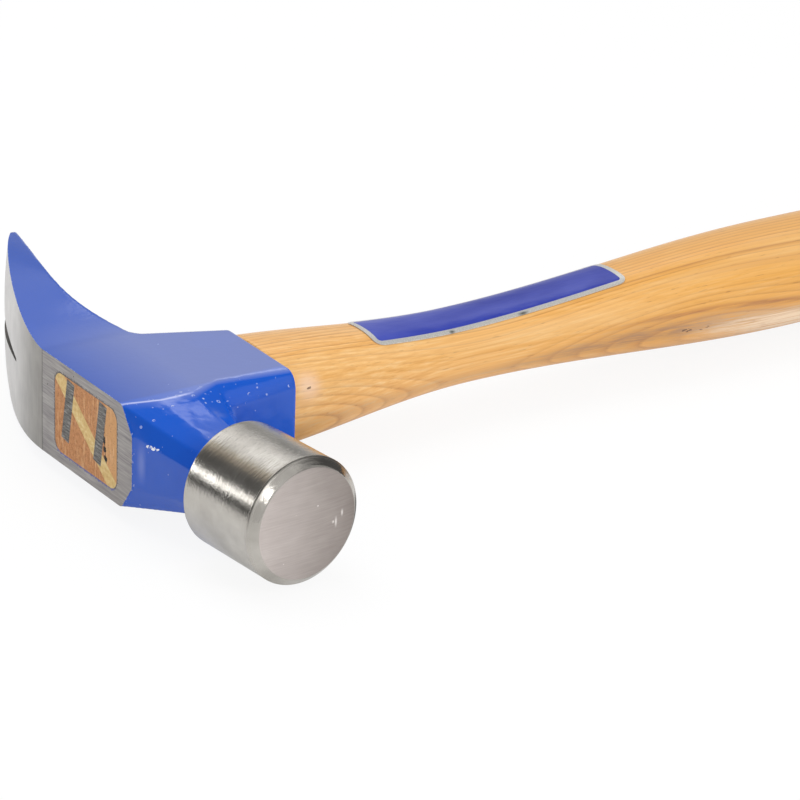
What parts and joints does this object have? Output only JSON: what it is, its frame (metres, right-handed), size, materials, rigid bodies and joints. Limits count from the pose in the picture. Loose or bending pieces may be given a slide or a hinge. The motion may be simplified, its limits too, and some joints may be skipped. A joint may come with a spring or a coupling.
{
  "type": "framing hammer",
  "caption": "Framing hammer with a heavy polished poll, a gently curved rip claw, a blue painted cheek and a wedged hickory handle with a bare foil label.",
  "frame": {"origin": "middle of the eye on the flat ground crown of the head, where the tenon and its wedges end flush with the steel", "axes": "the hammer lies on its side: +X runs along the handle from the crown to the butt, +Y points to the claw, -Y to the striking face, +Z out of the upper cheek"},
  "size_m": [0.445, 0.174, 0.038],
  "materials": {
    "head": "forged steel in glossy blue enamel; poll and face polished bare, crown ground bare, back of the claw satin bare",
    "handle": "hickory with straight grain under clear lacquer",
    "kerf_wedge": "pale wood, ground flush",
    "steel_wedges": "mild steel, ground flush",
    "handle_label": "printed foil, blue with a silver-grey border"
  },
  "bodies": {
    "root": {"head": "head", "handle": "handle", "kerf_wedge": "kerf_wedge", "claw_side_wedge": "steel_wedges", "face_side_wedge": "steel_wedges", "handle_label": "handle_label"}
  },
  "joints": []
}
